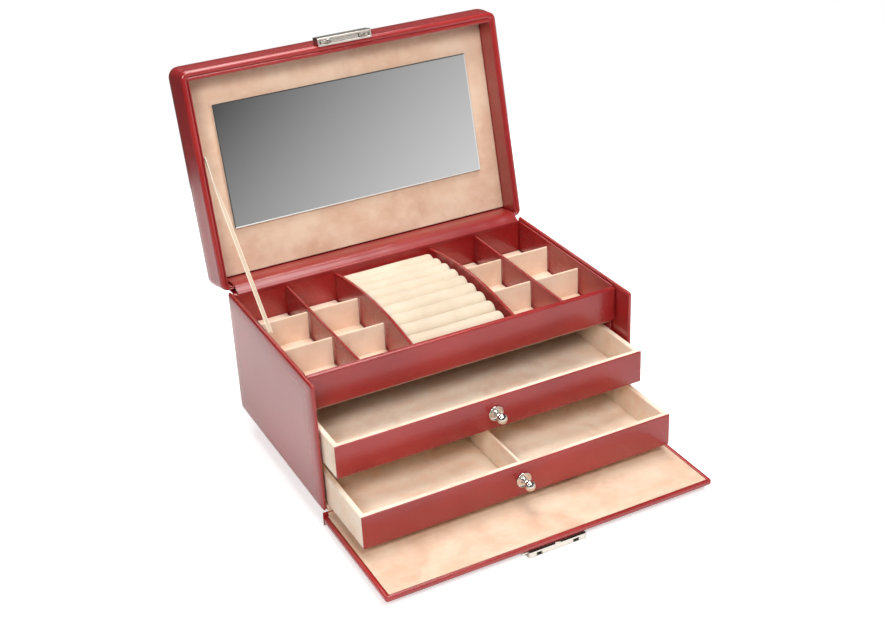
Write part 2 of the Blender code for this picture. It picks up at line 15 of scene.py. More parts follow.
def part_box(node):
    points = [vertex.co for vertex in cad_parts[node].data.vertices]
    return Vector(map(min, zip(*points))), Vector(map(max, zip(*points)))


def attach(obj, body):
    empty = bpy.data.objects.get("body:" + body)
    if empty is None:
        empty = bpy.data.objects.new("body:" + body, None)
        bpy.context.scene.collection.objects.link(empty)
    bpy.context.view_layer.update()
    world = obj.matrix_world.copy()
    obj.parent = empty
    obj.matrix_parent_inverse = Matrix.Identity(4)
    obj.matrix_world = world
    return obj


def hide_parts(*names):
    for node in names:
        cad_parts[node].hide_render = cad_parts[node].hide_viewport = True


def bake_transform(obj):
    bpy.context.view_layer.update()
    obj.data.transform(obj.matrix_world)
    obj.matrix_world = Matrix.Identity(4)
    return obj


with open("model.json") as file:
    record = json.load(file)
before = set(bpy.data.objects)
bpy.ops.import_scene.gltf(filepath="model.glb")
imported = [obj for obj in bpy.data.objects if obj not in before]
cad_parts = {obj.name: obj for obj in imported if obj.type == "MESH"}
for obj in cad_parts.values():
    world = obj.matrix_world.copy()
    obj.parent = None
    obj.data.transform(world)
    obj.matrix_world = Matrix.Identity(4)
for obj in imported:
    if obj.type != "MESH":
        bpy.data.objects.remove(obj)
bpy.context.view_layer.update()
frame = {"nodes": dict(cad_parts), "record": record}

MM = 0.001

# The frame the looks are built in
wall_low, wall_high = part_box("left_wall")
CASE = Matrix.Translation((0, wall_low.y, wall_low.z))
CASE_HALF = -wall_low.x
LID_LEAN = 77.36  # degrees up from level
LID_EDGE = Vector((0, 182.9, 111.47)) * MM
LID = CASE @ Matrix.Translation(LID_EDGE) @ Matrix.Rotation(math.radians(LID_LEAN), 4, "X")

# Case, in millimetres
HALF = CASE_HALF / MM
DEPTH = (wall_high.y - wall_low.y) / MM
HEIGHT = (wall_high.z - wall_low.z) / MM
WALL = 4.2
TRAY_TOP = 110.0
TRAY_FLOOR = 79.7
TRAY_START = 23.6
TRAY_STOP = 174.2
ROLLS = 9

# Lid, in millimetres
LID_HALF = 144.5
LID_LENGTH = 184.5
LID_DEPTH = 30.0
LINING_DEPTH = 21.3
PAD_CROWN = 6.6

# ---------------------------------------------------------------- camera, light, floor


def make_camera():
    data = bpy.data.cameras.new("camera")
    data.lens = 58.6075
    data.sensor_width = 36
    camera = bpy.data.objects.new("camera", data)
    camera.location = (-0.45365, -0.95105, 0.66955)
    camera.rotation_euler = [math.radians(a) for a in (62.029, 2.5, -27.4842)]
    bpy.context.scene.collection.objects.link(camera)
    bpy.context.scene.camera = camera


def make_world():
    """White to the camera. To the object it is a dim room with a bright wall low at the front right."""
    world = bpy.data.worlds.new("studio")
    bpy.context.scene.world = world
    world.use_nodes = True
    nodes = world.node_tree.nodes
    links = world.node_tree.links
    nodes.clear()
    direction = nodes.new("ShaderNodeTexCoord")
    towards = nodes.new("ShaderNodeVectorMath")
    towards.operation = "DOT_PRODUCT"
    towards.inputs[1].default_value = (2.7, -1.5, -2.59)
    links.new(direction.outputs["Generated"], towards.inputs[0])
    wall = nodes.new("ShaderNodeMapRange")
    wall.inputs["From Min"].default_value = 1.951
    wall.inputs["From Max"].default_value = 2.651
    wall.inputs["To Min"].default_value = 0.08
    wall.inputs["To Max"].default_value = 0.8
    links.new(towards.outputs["Value"], wall.inputs["Value"])
    seen = nodes.new("ShaderNodeLightPath")
    white = nodes.new("ShaderNodeMix")
    links.new(seen.outputs["Is Camera Ray"], white.inputs[0])
    links.new(wall.outputs["Result"], white.inputs[2])
    white.inputs[3].default_value = 1.0
    background = nodes.new("ShaderNodeBackground")
    background.inputs["Color"].default_value = (1, 1, 1, 1)
    links.new(white.outputs[0], background.inputs["Strength"])
    out = nodes.new("ShaderNodeOutputWorld")
    links.new(background.outputs[0], out.inputs["Surface"])


def area_light(name, place, target, size, watts, colour):
    data = bpy.data.lights.new(name, "AREA")
    data.shape = "RECTANGLE"
    data.size, data.size_y = size
    data.energy = watts
    data.color = colour
    light = bpy.data.objects.new(name, data)
    light.location = place
    light.rotation_mode = "QUATERNION"
    light.rotation_quaternion = (Vector(target) - Vector(place)).to_track_quat("-Z", "Y")
    bpy.context.scene.collection.objects.link(light)


def make_lights():
    aim = (0, 0, 0.1)
    warm = (1, 0.99, 0.97)
    softboxes = (
        ("overhead_softbox", (0.1, 0.05, 1.5), (0.95, 0.7), 18.2),
        ("front_softbox", (0.1, -1.2, 1.5), (0.8, 0.5), 11.6),
        ("rear_softbox", (0.2, 1.4, 1.3), (1.2, 0.6), 8.5),
        ("left_softbox", (-1.1, -1.3, 1.3), (0.6, 0.6), 15.4),
    )
    for name, place, size, watts in softboxes:
        area_light(name, place, aim, size, watts, warm)


def make_floor():
    """A pale table top that glows a little to the camera. The lid's side reflects the dim room behind it."""
    mesh = bpy.data.meshes.new("floor")
    reach = 1.3
    rear = 0.62
    corners = [(-reach, -reach, 0), (reach, -reach, 0), (reach, rear, 0), (-reach, rear, 0)]
    mesh.from_pydata(corners, [], [(0, 1, 2, 3)])
    floor = bpy.data.objects.new("floor", mesh)
    bpy.context.scene.collection.objects.link(floor)
    material = bpy.data.materials.new("floor")
    material.use_nodes = True
    shader = material.node_tree.nodes["Principled BSDF"]
    shader.inputs["Base Color"].default_value = (0.9, 0.9, 0.9, 1)
    shader.inputs["Roughness"].default_value = 0.8
    seen = material.node_tree.nodes.new("ShaderNodeLightPath").outputs["Is Camera Ray"]
    lift = material.node_tree.nodes.new("ShaderNodeMapRange")
    lift.inputs["To Max"].default_value = 0.55
    material.node_tree.links.new(seen, lift.inputs["Value"])
    material.node_tree.links.new(lift.outputs["Result"], shader.inputs["Emission Strength"])
    shader.inputs["Emission Color"].default_value = (1, 1, 1, 1)
    mesh.materials.append(material)


# ---------------------------------------------------------------- materials


class Nodes:
    """A material's node tree with short calls for the nodes used here."""

    def __init__(self, name):
        self.material = bpy.data.materials.new(name)
        self.material.use_nodes = True
        self.tree = self.material.node_tree
        self.shader = self.tree.nodes["Principled BSDF"]
        self.place = self.tree.nodes.new("ShaderNodeTexCoord").outputs["Object"]

    def link(self, source, target):
        self.tree.links.new(source, target)

    def stretch(self, scale):
        """Object coordinates, stretched."""
        made = self.tree.nodes.new("ShaderNodeMapping")
        made.inputs["Scale"].default_value = scale
        self.link(self.place, made.inputs["Vector"])
        return made.outputs["Vector"]

    def noise(self, scale, detail=2.0, rough=0.5, vector=None):
        made = self.tree.nodes.new("ShaderNodeTexNoise")
        made.inputs["Scale"].default_value = scale
        made.inputs["Detail"].default_value = detail
        made.inputs["Roughness"].default_value = rough
        self.link(vector or self.place, made.inputs["Vector"])
        return made.outputs["Fac"]

    def wave(self, scale, direction):
        made = self.tree.nodes.new("ShaderNodeTexWave")
        made.bands_direction = direction
        made.inputs["Scale"].default_value = scale
        self.link(self.place, made.inputs["Vector"])
        return made.outputs["Fac"]

    def span(self, value, low, high, to_low, to_high):
        made = self.tree.nodes.new("ShaderNodeMapRange")
        for socket, number in zip(made.inputs[1:5], (low, high, to_low, to_high)):
            socket.default_value = number
        self.link(value, made.inputs["Value"])
        return made.outputs["Result"]

    def blend(self, factor, first, second):
        made = self.tree.nodes.new("ShaderNodeMix")
        made.data_type = "RGBA"
        self.link(factor, made.inputs[0])
        for socket, colour in ((made.inputs[6], first), (made.inputs[7], second)):
            if isinstance(colour, bpy.types.NodeSocket):
                self.link(colour, socket)
            else:
                socket.default_value = (*colour, 1)
        return made.outputs[2]

    def bump(self, height, strength, distance, below=None):
        made = self.tree.nodes.new("ShaderNodeBump")
        made.inputs["Strength"].default_value = strength
        made.inputs["Distance"].default_value = distance
        self.link(height, made.inputs["Height"])
        if below is not None:
            self.link(below, made.inputs["Normal"])
        return made.outputs["Normal"]

    def set(self, **values):
        for name, value in values.items():
            socket = self.shader.inputs[name.replace("_", " ")]
            if isinstance(value, bpy.types.NodeSocket):
                self.link(value, socket)
            else:
                socket.default_value = value


DEEP_RED = (0.30, 0.011, 0.013)
LIGHT_RED = (0.41, 0.024, 0.023)
FINE_GRAIN = (1000, 0.16, 0.00018)


def leather(name, deep=DEEP_RED, light=LIGHT_RED, gloss=0.24, coat=0.6, grain=FINE_GRAIN):
    """Smooth red leather: slow changes of tone over a pebbled grain.

    The grain is (noise scale, bump strength, bump height in metres).
    """
    made = Nodes(name)
    fineness, strength, relief = grain
    tone = made.span(made.noise(17, 2, 0.4), 0.25, 0.75, 0, 1)
    colour = made.blend(tone, deep, light)
    pebbles = made.bump(made.noise(fineness, 1), strength, relief)
    swell = made.bump(made.noise(38, 1), 0.1, 0.0014, below=pebbles)
    rough = made.span(made.noise(32, 1), 0.3, 0.7, gloss - 0.01, gloss + 0.02)
    made.set(Base_Color=colour, Roughness=rough, Normal=swell)
    made.set(IOR=1.5, Coat_Weight=coat, Coat_Roughness=0.18, Coat_IOR=1.5)
    return made.material


def inner_leather(name):
    """A darker red with a coarser, stronger grain."""
    return leather(name, (0.27, 0.010, 0.012), (0.375, 0.021, 0.020), 0.22, 0.6, (620, 0.8, 0.0004))


def hinge_leather(name):
    return leather(name, (0.25, 0.010, 0.012), (0.34, 0.020, 0.020), 0.34, 0.3)


def pad_leather(name):
    return leather(name, gloss=0.34, coat=0.3)


def suede(name, pale=(0.84, 0.65, 0.49), warm=(0.75, 0.505, 0.355), nap=1.0):
    """Brushed suede cloth: clouds where the nap lies another way, over a fine fuzzy surface."""
    made = Nodes(name)
    clouds = made.span(made.noise(24, 4, 0.55), 0.40, 0.64, 0, 1)
    base = made.blend(clouds, warm, pale)
    strokes = made.span(made.noise(70, 4, 0.6, made.stretch((1, 1.8, 1.8))), 0.4, 0.75, 0, 0.55 * nap)
    lifted = (min(pale[0] * 1.05, 0.95), pale[1] * 1.09, pale[2] * 1.16)
    brushed = made.blend(strokes, base, lifted)
    rubbed = made.span(made.noise(19, 4, 0.6, made.stretch((1.3, 1, 1))), 0.54, 0.72, 0, 0.75 * nap)
    shaded = made.blend(rubbed, brushed, (warm[0] * 0.86, warm[1] * 0.78, warm[2] * 0.74))
    fuzz = made.noise(2600, 2, 0.7)
    specks = made.blend(made.span(fuzz, 0.35, 0.65, 0.0, 0.12), shaded, warm)
    pile = made.bump(fuzz, 0.3, 0.00022)
    soft = made.bump(made.noise(120, 2), 0.12, 0.0006, below=pile)
    made.set(Base_Color=specks, Roughness=0.92, Normal=soft)
    made.set(Sheen_Weight=0.3, Sheen_Roughness=0.45, Sheen_Tint=(1, 0.92, 0.84, 1), IOR=1.35)
    return made.material


# Painted light: a paler copy of the lining suede, so the drawers' insides look as brightly lit as the flap.
def drawer_suede(name):
    return suede(name, (0.96, 0.81, 0.66), (0.89, 0.66, 0.50), nap=1.15)


# Painted light: a paler copy of the lining suede, so the cards look brightly lit though they stand in the
# tray's shade.
def painted_light_card_suede(name):
    return suede(name, (0.88, 0.70, 0.55), (0.80, 0.57, 0.42), nap=0.7)


def velvet_roll(name):
    return suede(name, (0.70, 0.605, 0.475), (0.645, 0.53, 0.405), nap=0.4)


def satin(name, groove=(0.60, 0.46, 0.33), ridge=(0.76, 0.62, 0.47)):
    """Ribbon: fine crosswise ribs and a soft sheen."""
    made = Nodes(name)
    ribs = made.wave(520, "Z")
    # The grooves between the ribs are painted darker than the ridges: painted shade in the grooves.
    colour = made.blend(ribs, groove, ridge)
    made.set(Base_Color=colour, Roughness=0.5, Normal=made.bump(ribs, 0.4, 0.0001))
    made.set(Sheen_Weight=0.3, Sheen_Roughness=0.35)
    return made.material


def selvedge(name):
    return satin(name, (0.88, 0.79, 0.64), (0.95, 0.88, 0.75))


def polished(name, colour=(0.70, 0.665, 0.62), rough=0.13):
    """Plated metal with faint polishing marks."""
    made = Nodes(name)
    marks = made.noise(900, 2, vector=made.stretch((1, 1, 6)))
    made.set(Base_Color=(*colour, 1), Metallic=1.0)
    made.set(Roughness=made.span(marks, 0.3, 0.7, rough * 0.8, rough * 1.5))
    made.set(Normal=made.bump(made.noise(300, 2), 0.04, 0.0003))
    return made.material


def plain_steel(name):
    return polished(name, (0.5, 0.5, 0.52), 0.3)


def brushed_nickel(name):
    return polished(name, (0.80, 0.75, 0.69), 0.34)


# Painted shade: a dark copy of the nickel, for the clasp bar's back whose ledge shows above the plate.
def painted_shade_nickel(name):
    return polished(name, (0.36, 0.345, 0.32), 0.34)


# Painted shade: a near-black metal laid where there is only shade, on the clasp's channel floor, in the seam
# above the lock and over its slots.
def painted_shade_metal(name):
    return polished(name, (0.03, 0.028, 0.026), 0.4)


def mirror_glass(name):
    made = Nodes(name)
    smears = made.noise(30, 3)
    made.set(Base_Color=(0.93, 0.94, 0.93, 1), Metallic=1.0)
    made.set(Roughness=made.span(smears, 0.3, 0.7, 0.015, 0.03))
    return made.material


def fibreboard(name):
    made = Nodes(name)
    fibres = made.noise(700, 4, 0.7)
    colour = made.blend(fibres, (0.16, 0.09, 0.055), (0.3, 0.2, 0.13))
    made.set(Base_Color=colour, Roughness=0.85, Normal=made.bump(fibres, 0.3, 0.0002))
    return made.material


KINDS = {
    "outer_leather": leather,
    "inner_leather": inner_leather,
    "hinge_leather": hinge_leather,
    "pad_leather": pad_leather,
    "suede_lining": suede,
    "drawer_suede": drawer_suede,
    "painted_light_card_suede": painted_light_card_suede,
    "roll_suede": velvet_roll,
    "ribbon": satin,
    "selvedge": selvedge,
    "board": fibreboard,
    "mirror_glass": mirror_glass,
    "chrome_metal": polished,
    "steel": plain_steel,
    "brushed_nickel": brushed_nickel,
    "painted_shade_nickel": painted_shade_nickel,
    "painted_shade_metal": painted_shade_metal,
}
made_materials = {}


def finish_of(kind):
    """One shared material for each kind: the record's slots, and variants that stay within a slot."""
    if kind not in made_materials:
        made_materials[kind] = KINDS[kind](kind)
    return made_materials[kind]


def refinish(made, kind):
    """Another finish on the piece, within its own slot."""
    made.data.materials[0] = finish_of(kind)


def finish_cad_nodes():
    for part in frame["record"]["subparts"]:
        node = frame["nodes"][part["node"]]
        node.data.materials.clear()
        node.data.materials.append(finish_of(part["material_slot"]))


# ---------------------------------------------------------------- mesh helpers


def make_piece(name, points, faces, space, slot, smooth=38):
    """A mesh piece from points in millimetres in that space, with its vertices in the row frame."""
    mesh = bpy.data.meshes.new(name)
    mesh.from_pydata([space @ (Vector(p) * MM) for p in points], [], faces)
    mesh.shade_smooth()
    mesh.set_sharp_from_angle(angle=math.radians(smooth))
    mesh.materials.append(finish_of(slot))
    made = bpy.data.objects.new(name, mesh)
    bpy.context.scene.collection.objects.link(made)
    return made


def skin(name, loops, space, slot, ring=False, smooth=38):
    """A closed skin over loops of equal length: capped at both ends, or joined end to start as a ring."""
    count = len(loops[0])
    points = [p for loop in loops for p in loop]
    faces = []
    spans = len(loops) if ring else len(loops) - 1
    for i in range(spans):
        a = i * count
        b = (i + 1) % len(loops) * count
        for k in range(count):
            n = (k + 1) % count
            faces.append((a + k, a + n, b + n, b + k))
    if not ring:
        faces.append(tuple(reversed(range(count))))
        faces.append(tuple(range(len(points) - count, len(points))))
    return make_piece(name, points, faces, space, slot, smooth)


def stand_in(made, body, *nodes):
    """The piece rides on body and stands for those CAD nodes."""
    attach(made, body)
    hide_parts(*nodes)
    return made


def soften(made, width):
    """Rounds the piece's remaining sharp edges."""
    bevel = made.modifiers.new("soft_edges", "BEVEL")
    bevel.width = width * MM
    bevel.segments = 2
    bevel.limit_method = "ANGLE"
    bevel.angle_limit = math.radians(50)
    bevel.use_clamp_overlap = True


def quarter_turn(steps):
    """The angles in radians from 0 to a right angle, in that many steps."""
    return [math.radians(90 * k / steps) for k in range(steps + 1)]


def rounded_rectangle(low, high, radius, height, steps=5):
    """Points, anticlockwise from above, of a rectangle with rounded corners at that height."""
    corners = (
        (high[0] - radius, high[1] - radius, 0),
        (low[0] + radius, high[1] - radius, 90),
        (low[0] + radius, low[1] + radius, 180),
        (high[0] - radius, low[1] + radius, 270),
    )
    points = []
    for x, y, start in corners:
        for k in range(steps + 1):
            turn = math.radians(start + 90 * k / steps)
            points.append((x + radius * math.cos(turn), y + radius * math.sin(turn), height))
    return points


def slab_loops(low, high, corner, edge, steps=5):
    """Loops of a board whose upright corners are rounded by corner, and top and bottom edges by edge."""
    loops = []
    for end, sign in ((low[2], 1), (high[2], -1)):
        rounding = []
        for turn in quarter_turn(steps):
            inset = edge * (1 - math.sin(turn))
            height = end + sign * edge * (1 - math.cos(turn))
            inner_low = (low[0] + inset, low[1] + inset)
            inner_high = (high[0] - inset, high[1] - inset)
            rounding.append(rounded_rectangle(inner_low, inner_high, corner - inset, height, steps))
        loops += rounding if sign > 0 else rounding[::-1]
    return loops


def slab(name, low, high, space, slot, corner=1.0, edge=0.8, steps=5):
    return skin(name, slab_loops(low, high, corner, edge, steps), space, slot)


def turned(name, profile, place, slot, sides=48):
    """A turned piece from (radius, distance) points, in millimetres, along place's +Z axis."""
    loops = []
    for radius, distance in profile:
        turns = [2 * math.pi * k / sides for k in range(sides)]
        loops.append([(radius * math.cos(a), radius * math.sin(a), distance) for a in turns])
    return skin(name, loops, place, slot)


def box_mm(node, space):
    """A CAD node's lowest and highest corners in millimetres in that space, for boards square to it."""
    low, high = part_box(node)
    back = space.inverted()
    return (back @ low) / MM, (back @ high) / MM


# ---------------------------------------------------------------- case shell


def make_board(node, slot, corner, edge, body="case"):
    """A leather-covered board in its CAD node's own box, with softly rolled edges."""
    low, high = box_mm(node, CASE)
    return stand_in(slab(f"{node}_cover", low, high, CASE, slot, corner, edge), body, node)


def padded_side(node, outward):
    """A side wall whose cover is drawn over soft board: full round edges outside, tight ones inside."""
    low, high = box_mm(node, CASE)
    thick = high.x - low.x
    inner = low.x if outward > 0 else high.x
    steps = 6
    tight = 1.5
    stations = []
    for turn in quarter_turn(steps):
        stations.append((tight * (1 - math.cos(turn)), tight * (1 - math.sin(turn))))
    proud = 0.4
    fall = 3.1
    reach = 20.0
    steps = 12
    for k in range(1, steps + 1):
        share = k / steps
        stations.append((thick + proud - fall * (1 - share) ** 2, reach * share * share))
    loops = []
    for out, inset in stations:
        ring_low = (low.y + inset, low.z + inset)
        ring_high = (high.y - inset, high.z - inset)
        ring = rounded_rectangle(ring_low, ring_high, max(2.6 - inset * 0.3, 0.8), 0)
        loop = [(inner + outward * out, y, z) for y, z, _ in ring]
        loops.append(loop if outward > 0 else loop[::-1])
    return stand_in(skin(f"{node}_cover", loops, CASE, "outer_leather", smooth=60), "case", node)


def make_shell():
    padded_side("left_wall", -1)
    padded_side("right_wall", 1)
    make_board("back_wall", "outer_leather", 1.8, 1.6)
    make_board("left_liner", "inner_leather", 0.8, 0.75)
    make_board("right_liner", "inner_leather", 0.8, 0.75)
    make_board("tray_front", "inner_leather", 2.2, 1.6)
    make_board("tray_back_liner", "inner_leather", 0.65, 0.6)
    make_board("divider_left", "inner_leather", 1.15, 1.1)
    make_board("divider_right", "inner_leather", 1.15, 1.1)
    make_board("base_plinth", "outer_leather", 4.0, 1.0)


def make_turn_ins():
    """Where the wall's cover is folded over its top and front edges and glued down inside, with a mitre."""
    thick = 0.7
    front = 1.5
    back = 17.6
    top = HEIGHT - 1.6
    fold = [(front, top), (back, top), (back, top - 9.5), (11.0, top - 8.8), (front, top - 1.2)]
    for name, side in (("left_turn_in", -1), ("right_turn_in", 1)):
        outer = side * (HALF - WALL)
        inner = outer - side * thick
        ends = (outer, inner) if side < 0 else (inner, outer)
        loops = [[(x, y, z) for y, z in reversed(fold)] for x in ends]
        made = skin(name, loops, CASE, "outer_leather", smooth=30)
        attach(made, "case")


def arch_height(y):
    """Height at y of the arched dividers' top edge, a circular arc that ends 8 mm below its crest."""
    crest = box_mm("arch_left", CASE)[1].z
    rise = 8.0
    half = (TRAY_STOP - TRAY_START) / 2
    radius = (half * half + rise * rise) / (2 * rise)
    from_middle = y - (TRAY_START + TRAY_STOP) / 2
    return crest - radius + math.sqrt(max(radius * radius - from_middle * from_middle, 0))


def arched_outline(drop, inset=0.0, steps=40):
    start = TRAY_START + inset
    stop = TRAY_STOP - inset
    top = []
    for k in range(steps + 1):
        y = stop + (start - stop) * k / steps
        top.append((y, arch_height(y) - drop - inset))
    return [(start, TRAY_FLOOR), (stop, TRAY_FLOOR)] + top


def make_arches():
    for node in ("arch_left", "arch_right"):
        low, high = box_mm(node, CASE)
        flat = 0.05
        radius = (high.x - low.x) / 2 - flat
        middle = (low.x + high.x) / 2
        loops = []
        steps = 6
        for side in (-1, 1):
            rounding = []
            for turn in quarter_turn(steps):
                x = middle + side * (flat + radius * math.cos(turn))
                inset = radius * (1 - math.sin(turn))
                rounding.append([(x, y, z) for y, z in arched_outline(0, inset)])
            loops += rounding if side < 0 else rounding[::-1]
        stand_in(skin(f"{node}_cover", loops, CASE, "inner_leather"), "case", node)


# ---------------------------------------------------------------- tray


def roll_stations(length, soft=2.8):
    """(distance along the roll, share of its full radius) from its rounded left end to its right end."""
    turns = (0.0, 0.3, 0.6, 0.9, 1.2, 1.5708)
    near = [(soft * (1 - math.cos(a)), math.sin(a)) for a in turns]
    middle = [(soft + (length - 2 * soft) * k / 12, 1.0) for k in range(1, 12)]
    return near + middle + [(length - d, share) for d, share in reversed(near)]


def make_ring_rolls():
    """Cloth drawn round foam: rolls that press on each other, wander a little and gather at their ends."""
    sides = 40
    for i in range(ROLLS):
        node = f"ring_roll_{i + 1}"
        low, high = box_mm(node, CASE)
        y = (low.y + high.y) / 2
        z = (low.z + high.z) / 2
        full = (high.z - low.z) / 2
        loops = []
        for distance, share in roll_stations(high.x - low.x):
            along = low.x + distance
            lean = 0.25 * noise.noise(Vector((along / 30, i * 3.1, 0)))
            loop = []
            for k in range(sides):
                turn = 2 * math.pi * k / sides
                wobble = noise.noise(Vector((along / 12, i * 5 + math.cos(turn), math.sin(turn))))
                radius = full - 2.8 * (1 - share) + 0.14 * wobble * share
                radius += (1 - share) * 0.22 * math.cos(turn * 9)
                across = math.copysign(min(abs(math.cos(turn)) * radius * 1.04, full), math.cos(turn))
                loop.append((along, y + across, z + lean * share + math.sin(turn) * radius))
            loops.append(loop)
        made = stand_in(skin(f"{node}_cloth", loops, CASE, "roll_suede"), "case", node)


def card_outline(third_lean):
    """A folded card seen from +X, with rounded folds along the tops of its two upstands."""
    bottom = TRAY_FLOOR
    thick = 1.8
    top = bottom + thick
    crest = 105.5
    points = [(TRAY_START, bottom), (TRAY_STOP, bottom), (TRAY_STOP, top)]
    for third in (2, 1):
        y = TRAY_START + (TRAY_STOP - TRAY_START) * third / 3
        lean = third_lean * (1 if third == 1 else -0.6)
        points.append((y + thick / 2, top))
        for k in range(7):
            turn = math.pi * k / 6
            crown = crest - thick / 2 + thick / 2 * math.sin(turn)
            points.append((y + lean + thick / 2 * math.cos(turn), crown))
        points.append((y - thick / 2, top))
    return points + [(TRAY_START, top)]


def make_cards():
    for i in range(4):
        node = f"card_insert_{i + 1}"
        low, high = box_mm(node, CASE)
        outline = card_outline(0.25 * (-1) ** i)
        rows = 6
        loops = []
        for k in range(rows + 1):
            x = low.x + 0.3 + (high.x - low.x - 1.1) * k / rows
            loops.append([(x, y, z) for y, z in outline])
        made = skin(f"{node}_suede", loops, CASE, "suede_lining")
        # The cards take the paler copy of the lining suede: painted light.
        refinish(made, "painted_light_card_suede")
        soften(made, 0.35)
        stand_in(made, "case", node)


# ---------------------------------------------------------------- drawers

FRONT_SHARE = 0.9  # a drawer's front wall over its other walls


def make_drawer(name):
    """Suede-wrapped walls with rolled rims, a floor card, a leather facing and a plated knob."""
    low, high = box_mm(f"{name}_box", CASE)
    wall = 4.4
    roll = 1.5
    floor_top = low.z + 2.5
    steps = 5

    def loop(inset, height, radius):
        inner_low = (low.x + inset, low.y + inset * FRONT_SHARE)
        inner_high = (high.x - inset, high.y - inset)
        return rounded_rectangle(inner_low, inner_high, radius, height, 4)

    loops = [loop(0.5, low.z, 0.9), loop(0.0, low.z + 0.5, 1.4)]
    for turn in quarter_turn(steps):
        loops.append(loop(roll * (1 - math.cos(turn)), high.z - roll * (1 - math.sin(turn)), 1.4))
    for turn in quarter_turn(steps):
        loops.append(loop(wall - roll * (1 - math.sin(turn)), high.z - roll * (1 - math.cos(turn)), 1.2))
    loops += [loop(wall, floor_top + 0.6, 1.2), loop(wall + 0.6, floor_top, 0.9)]
    # The drawer's walls take the paler copy of the lining suede: painted light.
    made = skin(f"{name}_walls", loops, CASE, "drawer_suede")
    stand_in(made, name, f"{name}_box")
    make_floor_card(name, low, high, wall, floor_top)
    low, high = box_mm(f"{name}_facing", CASE)
    facing = slab(f"{name}_facing_cover", low, high, CASE, "inner_leather", 0.55, 0.5)
    stand_in(facing, name, f"{name}_facing")
    make_knob(name, low, high)


def make_floor_card(name, low, high, wall, floor_top):
    gap = 0.8
    back = high.y - wall - gap
    front = low.y + wall * FRONT_SHARE + gap
    left = low.x + wall + gap
    right = high.x - wall - gap
    beside = 2.2
    halves = ((left, -beside), (beside, right)) if name == "lower_drawer" else ((left, right),)
    for i, (x_low, x_high) in enumerate(halves):
        card_low = (x_low, front, floor_top + 0.05)
        card_high = (x_high, back, floor_top + 1.0)
        # Painted light: the floor cards take the paler drawer copy of the suede.
        card = slab(f"{name}_floor_card_{i + 1}", card_low, card_high, CASE, "drawer_suede", 1.0, 0.45, 3)
        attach(card, name)


def make_knob(name, low, high):
    """A rosette with a beaded rim, a waisted neck and a grooved, slightly flattened ball."""
    middle = (low.z + high.z) / 2
    place = CASE @ Matrix.Translation(Vector((0, low.y - 0.3, middle)) * MM)
    place = place @ Matrix.Rotation(math.radians(90), 4, "X")
    profile = [(1.0, 0.0), (6.3, 0.0), (6.5, 0.2), (6.5, 0.75)]
    for k in range(7):
        turn = math.pi * k / 6
        profile.append((6.05 + 0.45 * math.cos(turn), 0.85 + 0.5 * math.sin(turn)))
    profile += [(5.5, 0.72), (4.8, 0.5), (4.0, 0.42), (3.2, 0.5), (2.8, 0.8), (2.6, 1.3), (2.1, 1.9)]
    profile += [(1.85, 2.9), (1.8, 4.2), (1.95, 4.9), (2.5, 5.1), (2.75, 5.5)]
    profile += [(2.5, 5.9), (2.2, 6.2), (2.3, 6.6)]
    ball = 10.2
    for degrees in range(-56, 90, 5):
        turn = math.radians(degrees)
        groove = 0.3 * math.exp(-(((degrees - 15) / 4.5) ** 2))
        radius = 4.35 - groove
        profile.append((radius * math.cos(turn), ball + (3.9 - groove) * math.sin(turn)))
    knob = turned(f"{name}_knob_turned", profile, place, "chrome_metal")
    stand_in(knob, name, f"{name}_knob")


def make_drawer_divider():
    low, high = box_mm("lower_drawer_divider", CASE)
    low.y -= 0.2
    # Painted light: the divider takes the paler drawer copy of the suede.
    made = slab("lower_drawer_divider_suede", low, high, CASE, "drawer_suede", 1.2, 1.15)
    stand_in(made, "lower_drawer", "lower_drawer_divider")


# ---------------------------------------------------------------- lid


def lid_loop(side, hinge, free, radius, t, steps=7):
    """A rounded rectangle in lid coordinates, inset by side, hinge and free from the lid's own edges."""
    low = (-LID_HALF + side, hinge)
    high = (LID_HALF - side, LID_LENGTH - free)
    return rounded_rectangle(low, high, radius, t, steps)


def make_lid_cover():
    """The lid's outer leather: down the inside of the rim, round it, down the sides and in under the pad."""
    board = 5.1
    corner = 6.2
    fullest = 2.6
    tuck = 3.6
    steps = 8
    loops = [lid_loop(board, 1.9, board, 2.0, -24.6), lid_loop(board, 1.9, board, 2.0, -1.6)]
    for k in range(1, 2 * steps + 1):
        turn = math.radians(90 * k / steps)
        half = board / 2
        inset = half + half * math.cos(turn)
        hinge = 0.95 + 0.95 * math.cos(turn)
        drop = (1.6 if k <= steps else 3.0) * (1 - math.sin(turn))
        loops.append(lid_loop(inset, hinge, inset, corner - inset * 0.6, -drop))
    for depth, swell in ((8, 0.7), (13, 1.6), (18, 2.3), (22, fullest), (25, fullest)):
        loops.append(lid_loop(-swell, 0, -swell, corner + swell, -depth))
    shoulder = 4.6
    for turn in quarter_turn(steps):
        inset = tuck - (tuck + fullest) * math.cos(turn)
        hinge = tuck * (1 - math.cos(turn))
        depth = LID_DEPTH - shoulder * (1 - math.sin(turn))
        loops.append(lid_loop(inset, hinge, inset, corner - min(inset, 0), -depth))
    loops.append(lid_loop(8, 8, 8, 4, -LID_DEPTH))
    made = skin("lid_cover", loops[::-1], LID, "outer_leather", smooth=60)
    stand_in(made, "lid", "lid_frame", "lid_panel")


def pad_grid(inset, columns, rows):
    """Grid points in lid x and l that fill a rectangle with rounded corners, inset from the lid's edges."""
    radius = 7.0
    half = LID_HALF - inset
    low = inset
    high = LID_LENGTH - inset
    grid = []
    for j in range(rows + 1):
        for i in range(columns + 1):
            x = -half + 2 * half * i / columns
            l = low + (high - low) * j / rows
            beyond_x = max(abs(x) - (half - radius), 0)
            beyond_l = max(low + radius - l, l - (high - radius), 0)
            reach = max(beyond_x, beyond_l)
            away = math.hypot(beyond_x, beyond_l)
            if away > 0:
                pull = reach / away
                x -= math.copysign(beyond_x * (1 - pull), x)
                towards = 1 if l < LID_LENGTH / 2 else -1
                l += towards * beyond_l * (1 - pull)
            grid.append((x, l))
    return grid


